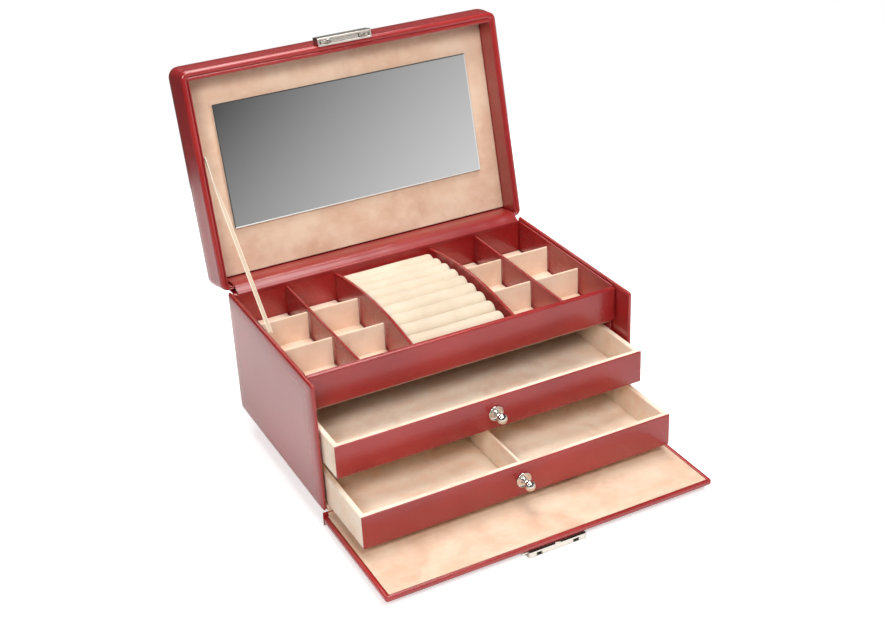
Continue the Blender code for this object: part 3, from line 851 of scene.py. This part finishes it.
def make_lid_pad():
    """The padded top: a closed leather cushion, pinned at its rim and underside and blown up as cloth."""
    columns = 56
    rows = 36
    grid = pad_grid(2.6, columns, rows)
    wide = columns + 1
    points = []
    for n, (x, l) in enumerate(grid):
        i = n % wide
        j = n // wide
        edge = min(i, columns - i, j, rows - j)
        points.append((x, l, -LID_DEPTH - 0.2 - PAD_CROWN * 0.75 * (1 - math.exp(-edge / 2.2))))
    points += [(x, l, -LID_DEPTH - 0.1) for x, l in grid]
    total = len(grid)
    faces = []
    for j in range(rows):
        for i in range(columns):
            a = j * wide + i
            faces.append((a, a + wide, a + wide + 1, a + 1))
            faces.append((total + a, total + a + 1, total + a + wide + 1, total + a + wide))
    rim = list(range(wide)) + [j * wide + columns for j in range(1, rows + 1)]
    rim += [rows * wide + i for i in range(columns - 1, -1, -1)] + [j * wide for j in range(rows - 1, 0, -1)]
    for k, a in enumerate(rim):
        b = rim[(k + 1) % len(rim)]
        faces.append((a, b, total + b, total + a))
    made = make_piece("lid_pad", points, faces, LID, "outer_leather", smooth=70)
    held = set(rim) | set(range(total, 2 * total))
    inflate(made, sorted(held))
    grow = made.modifiers.new("rounder", "SUBSURF")
    grow.levels = grow.render_levels = 1
    refinish(made, "pad_leather")
    stand_in(made, "lid", "lid_padding")


def inflate(made, held, frames=18, pressure=1.1):
    """Runs the piece as cloth under its own air pressure, then keeps each point within the pad's room."""
    before = [v.co.copy() for v in made.data.vertices]
    group = made.vertex_groups.new(name="held")
    group.add(held, 1.0, "REPLACE")
    cloth = made.modifiers.new("cloth", "CLOTH")
    cloth.settings.vertex_group_mass = "held"
    cloth.settings.quality = 6
    cloth.settings.mass = 0.3
    cloth.settings.tension_stiffness = 12
    cloth.settings.compression_stiffness = 12
    cloth.settings.shear_stiffness = 6
    cloth.settings.bending_stiffness = 4
    cloth.settings.use_pressure = True
    cloth.settings.uniform_pressure_force = pressure
    cloth.settings.effector_weights.gravity = 0
    cloth.collision_settings.use_collision = False
    cloth.point_cache.frame_start = 1
    cloth.point_cache.frame_end = frames
    scene = bpy.context.scene
    for number in range(1, frames + 1):
        scene.frame_set(number)
    settled = made.evaluated_get(bpy.context.evaluated_depsgraph_get())
    after = [v.co.copy() for v in settled.data.vertices]
    made.modifiers.remove(cloth)
    scene.frame_set(1)
    top = -(LID_DEPTH + PAD_CROWN) * MM
    there = LID.inverted()
    for vertex, old, new in zip(made.data.vertices, before, after):
        moved = new - old
        if moved.length > PAD_CROWN * MM:
            moved.length = PAD_CROWN * MM
        place = there @ (old + moved)
        place.z = max(place.z, top)
        vertex.co = LID @ place
    made.vertex_groups.remove(group)
    made.data.update()


def make_lid_inner_rim():
    """The leather-covered liner inside the rim, a little lower than it, with its own rolled edge."""
    outer = (5.2, 2.2, 5.2)
    inner = (6.5, 3.0, 8.2)
    roll = 0.6
    top = -0.35
    loops = [lid_loop(*outer, 2.0, -LINING_DEPTH - 1.0), lid_loop(*outer, 2.0, top - roll)]
    steps = 5
    for k in range(1, steps + 1):
        turn = math.radians(90 * k / steps)
        inset = [o + roll * (1 - math.cos(turn)) * (i - o) / 1.3 for o, i in zip(outer, inner)]
        loops.append(lid_loop(*inset, 1.6, top - roll * (1 - math.sin(turn))))
    for turn in quarter_turn(steps):
        inset = [i - roll * (1 - math.sin(turn)) * (i - o) / 1.3 for o, i in zip(outer, inner)]
        loops.append(lid_loop(*inset, 1.2, top - roll * (1 - math.cos(turn))))
    loops.append(lid_loop(*inner, 1.0, -LINING_DEPTH - 1.0))
    made = skin("lid_inner_rim", loops[::-1], LID, "inner_leather", ring=True)
    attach(made, "lid")


def make_lid_lining():
    low = (-LID_HALF + 6.7, 6.2, -LINING_DEPTH - 1.3)
    high = (LID_HALF - 6.7, LID_LENGTH - 8.4, -LINING_DEPTH)
    loops = slab_loops(low, high, 1.4, 0.8)
    stand_in(skin("lid_lining_suede", loops, LID, "suede_lining"), "lid", "lid_lining")


def make_mirror():
    """A mirror with a narrow ground bevel all round."""
    low = (-118.1, 46.1)
    high = (118.1, 151.8)
    back = -LINING_DEPTH + 0.3
    face = back + 2.7
    bevel = 1.0
    ground = 0.08
    inner_low = (low[0] + bevel, low[1] + bevel)
    inner_high = (high[0] - bevel, high[1] - bevel)
    loops = [
        rounded_rectangle(low, high, 0.5, back, 3),
        rounded_rectangle(low, high, 0.5, face - ground, 3),
        rounded_rectangle(inner_low, inner_high, 0.4, face, 3),
    ]
    stand_in(skin("lid_mirror_glass", loops, LID, "mirror_glass", smooth=2), "lid", "lid_mirror")


def make_clasp():
    """The upper half of the lock: a bar whose plate laps the rim, with a sunk channel and two hooks.

    Here case is the bar's own case, behind the plate.
    """
    half = 24.5
    far = LID_LENGTH + 6.4
    face = 1.6

    def loop(inset, t, near, stop):
        low = (-half + inset, near + inset)
        return rounded_rectangle(low, (half - inset, stop - inset), max(0.7 - inset * 0.5, 0.2), t, 4)

    body = LID_LENGTH + 0.2
    lap = LID_LENGTH - 1.3
    loops = [loop(0.5, -9.6, body, far), loop(0, -9.1, body, far), loop(0, 0.1, body, far)]
    # The bar's back takes the dark copy of the nickel: painted shade on the ledge above the plate.
    case = skin("clasp_bar_back", loops, LID, "chrome_metal")
    refinish(case, "painted_shade_nickel")
    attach(case, "lid")
    stop = far - 0.8
    section = [(0, 0.12), (0, 1.05), (0.18, 1.44), (0.55, face), (1.45, face), (1.6, 1.48), (1.85, 0.4)]
    loops = [loop(inset, t, lap, stop) for inset, t in section]
    bar = skin("clasp_bar_plated", loops, LID, "chrome_metal")
    refinish(bar, "brushed_nickel")
    stand_in(bar, "lid", "clasp_bar")
    # The channel's floor is painted near-black: painted shade in the recess.
    channel_low = (2.1 - half, lap + 2.0, face - 1.3)
    channel_high = (half - 2.1, stop - 2.0, face - 1.1)
    channel = slab("clasp_channel_painted_shade", channel_low, channel_high, LID, "chrome_metal", 0.3, 0.05, 3)
    refinish(channel, "painted_shade_metal")
    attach(channel, "lid")
    raised = (
        ("clasp_rib", -12.6, 12.6),
        ("clasp_stop_left", -21.6, -13.6),
        ("clasp_stop_right", 13.6, 21.6),
    )
    for name, start, end in raised:
        rib_low = (start, lap + 2.25, face - 1.25)
        rib_high = (end, stop - 2.1, face - 0.55)
        rib = slab(name, rib_low, rib_high, LID, "chrome_metal", 0.5, 0.3)
        refinish(rib, "brushed_nickel")
        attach(rib, "lid")
    outline = [(186.8, -0.2), (188.8, -0.2), (188.8, 4.2), (188.2, 4.8), (186.4, 4.8), (186.0, 4.2)]
    outline += [(186.0, 3.4), (186.8, 3.2)]
    thin = 1.7
    for name, x in (("clasp_prong_left", -16), ("clasp_prong_right", 16)):
        loops = [[(x + w, l, t) for l, t in outline] for w in (-thin, thin)]
        prong = skin(f"{name}_plated", loops, LID, "chrome_metal", smooth=25)
        soften(prong, 0.25)
        stand_in(prong, "lid", name)


# ---------------------------------------------------------------- leather and ribbon across the joints


def swept_sheet(name, rows, thickness, space, slot):
    """A closed sheet from rows of points, thickened along its own normals."""
    count = len(rows[0])
    points = [Vector(p) for row in rows for p in row]
    offsets = []
    for i in range(len(rows)):
        for k in range(count):
            a = points[i * count + max(k - 1, 0)]
            b = points[i * count + min(k + 1, count - 1)]
            c = points[max(i - 1, 0) * count + k]
            d = points[min(i + 1, len(rows) - 1) * count + k]
            normal = (b - a).cross(d - c).normalized()
            offsets.append(normal * thickness / 2)
    upper = [p + m for p, m in zip(points, offsets)]
    lower = [p - m for p, m in zip(points, offsets)]
    faces = []
    total = len(points)
    for i in range(len(rows) - 1):
        for k in range(count - 1):
            a = i * count + k
            quad = (a, a + 1, a + 1 + count, a + count)
            faces.append(quad)
            faces.append(tuple(total + v for v in reversed(quad)))
    rim = list(range(count))
    rim += [i * count + count - 1 for i in range(1, len(rows))]
    rim += [(len(rows) - 1) * count + k for k in range(count - 2, -1, -1)]
    rim += [i * count for i in range(len(rows) - 2, 0, -1)]
    for i, a in enumerate(rim):
        b = rim[(i + 1) % len(rim)]
        faces.append((b, a, total + a, total + b))
    return make_piece(name, upper + lower, faces, space, slot, smooth=60)


def smooth_line(points, steps):
    """A smooth (y, z) line through the points, by Catmull-Rom spans."""
    line = []
    ends = [points[0]] + points + [points[-1]]
    for i in range(1, len(ends) - 2):
        a, b, c, d = (Vector(p) for p in ends[i - 1 : i + 3])
        square = 2 * a - 5 * b + 4 * c - d
        cube = 3 * b - a - 3 * c + d
        for k in range(steps):
            s = k / steps
            line.append(0.5 * (2 * b + (c - a) * s + square * s * s + cube * s**3))
    return line + [Vector(points[-1])]


def lid_to_case(l, t):
    """(y, z) in case coordinates of a point on the lid."""
    there = CASE.inverted() @ LID @ (Vector((0, l, t)) * MM)
    return there.y / MM, there.z / MM


def make_hinge_web():
    """The leather inside the lid's joint, from the tray's back over the hinge to under the lid's lining."""
    crest = lid_to_case(3.4, -0.6)
    line = smooth_line(
        [
            (TRAY_STOP + 0.6, TRAY_TOP - 2.4),
            (TRAY_STOP + 0.9, TRAY_TOP + 0.2),
            (177.4, 111.4),
            (crest[0] - 1.6, crest[1] - 0.5),
            lid_to_case(4.4, -6),
            lid_to_case(4.5, -14),
            lid_to_case(5.0, -LINING_DEPTH + 0.9),
        ],
        5,
    )
    rows = []
    columns = 60
    left = -133.6
    wide = 269.4
    pucker = 122
    for i, (y, z) in enumerate(line):
        row = []
        share = i / (len(line) - 1)
        for k in range(columns + 1):
            x = left + wide * k / columns
            slack = math.sin(math.pi * share) ** 2
            wave = 0.35 * slack * noise.noise(Vector((x / 26, share * 2, 4.0)))
            pull = 0.5 * slack * math.exp(-(((x - pucker) / 12) ** 2)) * math.sin((x - pucker) / 4.5)
            row.append((x, y, z + wave + pull))
        rows.append(row)
    web = swept_sheet("hinge_web_leather", rows, 0.9, CASE, "inner_leather")
    refinish(web, "hinge_leather")
    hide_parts("hinge_web")
    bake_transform(web)


def make_back_strip():
    """The leather outside the lid's joint, glued to the case's back and to the lid's hinge side."""
    outer = DEPTH + 1.9
    half = 135.6
    columns = 40
    line = smooth_line(
        [
            (outer - 0.6, 88.5),
            (outer, 92),
            (outer, 103),
            (outer + 1.4, 107.4),
            lid_to_case(-2.4, -7),
            lid_to_case(-1.8, -19),
        ],
        6,
    )
    rows = [[(-half + 2 * half * k / columns, y, z) for k in range(columns + 1)] for y, z in line]
    strip = swept_sheet("hinge_back_leather", rows, 0.8, CASE, "outer_leather")
    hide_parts("hinge_back_strip")
    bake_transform(strip)


def make_ribbon():
    """The ribbon that stops the lid: sewn to the lid's side, and turned as it leaves for the tray."""
    top = CASE.inverted() @ LID @ (Vector((-137.1, 113, -1.7)) * MM) / MM
    foot = Vector((-134.2, 100, 109.0))
    width = 4.8
    twist = math.radians(56)
    steps = 48
    strands = 9
    turned_by = 0.32
    along = (foot - top).normalized()
    flat = along.cross(Vector((1, 0, 0))).normalized()
    sag = Vector((0, -0.6, -0.8))
    rows = []
    for k in range(steps + 1):
        share = k / steps
        opened = min(share / turned_by, 1)
        turn = twist * opened * opened * (3 - 2 * opened)
        across = Matrix.Rotation(turn, 3, along) @ flat
        middle = top.lerp(foot, share) + sag * 4 * share * (1 - share)
        rows.append([middle + across * width * (c / (strands - 1) - 0.5) for c in range(strands)])
    ribbon = swept_sheet("ribbon_stay_woven", rows, 0.45, CASE, "ribbon")
    ribbon.data.materials.append(finish_of("selvedge"))
    for face in ribbon.data.polygons:
        columns = [v % strands for v in face.vertices]
        face.material_index = int(max(columns) <= 1 or min(columns) >= strands - 2)
    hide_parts("ribbon_stay")
    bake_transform(ribbon)


def make_flap_hinge():
    """The strip that joins the flap to the floor's front edge: leather below, lined with suede above."""
    wide = HALF - 0.4
    narrow = HALF - WALL - 0.6
    columns = 60
    rows = []
    for z in (-12.0, -9.5, -7.0, -4.4, -2.4, -0.5):
        bulge = 0.25 * math.sin((z + 12) / 3)
        rows.append([(-wide + 2 * wide * k / columns, -0.1 + bulge, z) for k in range(columns + 1)])
    strip = swept_sheet("flap_hinge_leather", rows, 0.8, CASE, "outer_leather")
    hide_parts("flap_hinge_strip")
    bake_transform(strip)
    line = smooth_line([(8.0, 3.25), (1.6, 3.2), (0.2, 2.2), (-0.2, 0.0), (-0.75, -3.0), (-1.8, -3.95)], 5)
    rows = [[(-narrow + 2 * narrow * k / columns, y, z) for k in range(columns + 1)] for y, z in line]
    lining = swept_sheet("flap_hinge_suede", rows, 0.35, CASE, "suede_lining")
    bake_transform(lining)


# ---------------------------------------------------------------- flap and lock


def make_flap():
    """The front flap: a leather-covered board whose rolled border stands round the suede panel."""
    low, high = box_mm("flap_board", CASE)
    top = high.z + 0.75
    side = 3.7
    front = 2.6
    corner = 2.3
    roll = 1.7
    rolled = 1.3
    steps = 6

    def loop(inset, height, radius, rear=None, front_inset=None):
        rear_inset = inset if rear is None else rear
        lowest = (low.x + inset, low.y + (inset if front_inset is None else front_inset))
        highest = (high.x - inset, high.y - rear_inset)
        return rounded_rectangle(lowest, highest, radius, height, 6)

    loops = []
    for turn in quarter_turn(steps):
        inset = roll * (1 - math.sin(turn))
        loops.append(loop(inset, low.z + roll * (1 - math.cos(turn)), corner - inset, inset * 0.4))
    for turn in quarter_turn(steps):
        inset = rolled * (1 - math.cos(turn))
        loops.append(loop(inset, top - rolled * (1 - math.sin(turn)), corner - inset, inset * 0.4))
    loops.append(loop(side - 0.5, top - 0.05, 0.8, 0.7, front - 0.5))
    loops.append(loop(side - 0.15, top - 0.25, 0.6, 0.8, front - 0.15))
    loops.append(loop(side, top - 0.9, 0.5, 0.9, front))
    made = skin("flap_cover", loops, CASE, "outer_leather", smooth=50)
    stand_in(made, "flap", "flap_board")
    ridge_low = (low.x + 1.0, low.y + 0.5, top - 1.2)
    ridge_high = (high.x - 1.0, low.y + 2.1, top + 0.4)
    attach(slab("flap_edge_ridge", ridge_low, ridge_high, CASE, "outer_leather", 0.7, 0.7, 5), "flap")
    low, high = box_mm("flap_lining", CASE)
    inner_low = (low.x + 0.25, low.y + 0.25, low.z - 0.1)
    inner_high = (high.x - 0.25, high.y - 0.2, high.z + 0.05)
    lining = slab("flap_lining_suede", inner_low, inner_high, CASE, "suede_lining", 0.8, 0.2, 4)
    stand_in(lining, "flap", "flap_lining")


def make_lock():
    """Details on the lock's own body: a tab, near-black strips of painted shadow in the seam under the
    leather, near-black patches of painted shade over the slots, a catch and a plate.

    Each row holds a finish and a corner radius, then the room in x, in y from the lock's front, and in z.
    """
    refinish(frame["nodes"]["lock_body"], "brushed_nickel")
    low, high = box_mm("lock_body", CASE)
    top = high.z
    gap = (top - 0.95, top + 0.08)
    slot = (-14.3, -11.8)
    pieces = (
        ("lock_tab", "chrome_metal", 0.5, (-2.4, 2.4), (-0.15, 1.6), (top - 1.0, top + 0.25)),
        ("lock_plate", "brushed_nickel", 1.0, (low.x - 5.5, low.x - 0.2), (1.0, 14), (top - 1.2, top + 0.1)),
        # Painted shadow: near-black strips along the seam between the flap's leather and the lock's face,
        # over the height in gap.
        ("lock_painted_shadow_left", "painted_shade_metal", 0.05, (low.x + 0.3, -2.5), (-0.06, 0.8), gap),
        ("lock_painted_shadow_right", "painted_shade_metal", 0.05, (2.5, high.x - 0.6), (-0.06, 0.8), gap),
        # Painted shade: near-black patches on the lock's face where its slots are.
        ("lock_slot_painted_shade_left", "painted_shade_metal", 0.1, (-17.6, -14.6), (-0.05, 0.6), slot),
        ("lock_slot_painted_shade_right", "painted_shade_metal", 0.1, (13.6, 18.4), (-0.05, 0.6), slot),
        ("lock_catch", "chrome_metal", 0.4, (-14.3, -12.9), (-0.25, 0.5), (-13.2, -11.4)),
    )
    for name, finish, corner, x, y, z in pieces:
        lowest = (x[0], low.y + y[0], z[0])
        highest = (x[1], low.y + y[1], z[1])
        made = slab(name, lowest, highest, CASE, "chrome_metal", corner, min(corner, 0.3), 3)
        refinish(made, finish)
        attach(made, "flap")


def make_lock_spring():
    """The spring beside the lock's slide, as a copy of the CAD spring's mesh baked in place."""
    node = frame["nodes"]["lock_spring"]
    made = bpy.data.objects.new("lock_spring_wire", node.data.copy())
    bpy.context.scene.collection.objects.link(made)
    made.matrix_world = node.matrix_world
    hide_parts("lock_spring")
    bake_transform(made)


# ---------------------------------------------------------------- assembly


bpy.context.scene.view_settings.view_transform = "Standard"
make_camera()
make_world()
make_lights()
make_floor()
finish_cad_nodes()
make_shell()
make_turn_ins()
make_arches()
make_ring_rolls()
make_cards()
make_drawer("upper_drawer")
make_drawer("lower_drawer")
make_drawer_divider()
make_lid_cover()
make_lid_pad()
make_lid_inner_rim()
make_lid_lining()
make_mirror()
make_clasp()
make_hinge_web()
make_back_strip()
make_ribbon()
make_flap_hinge()
make_flap()
make_lock()
make_lock_spring()
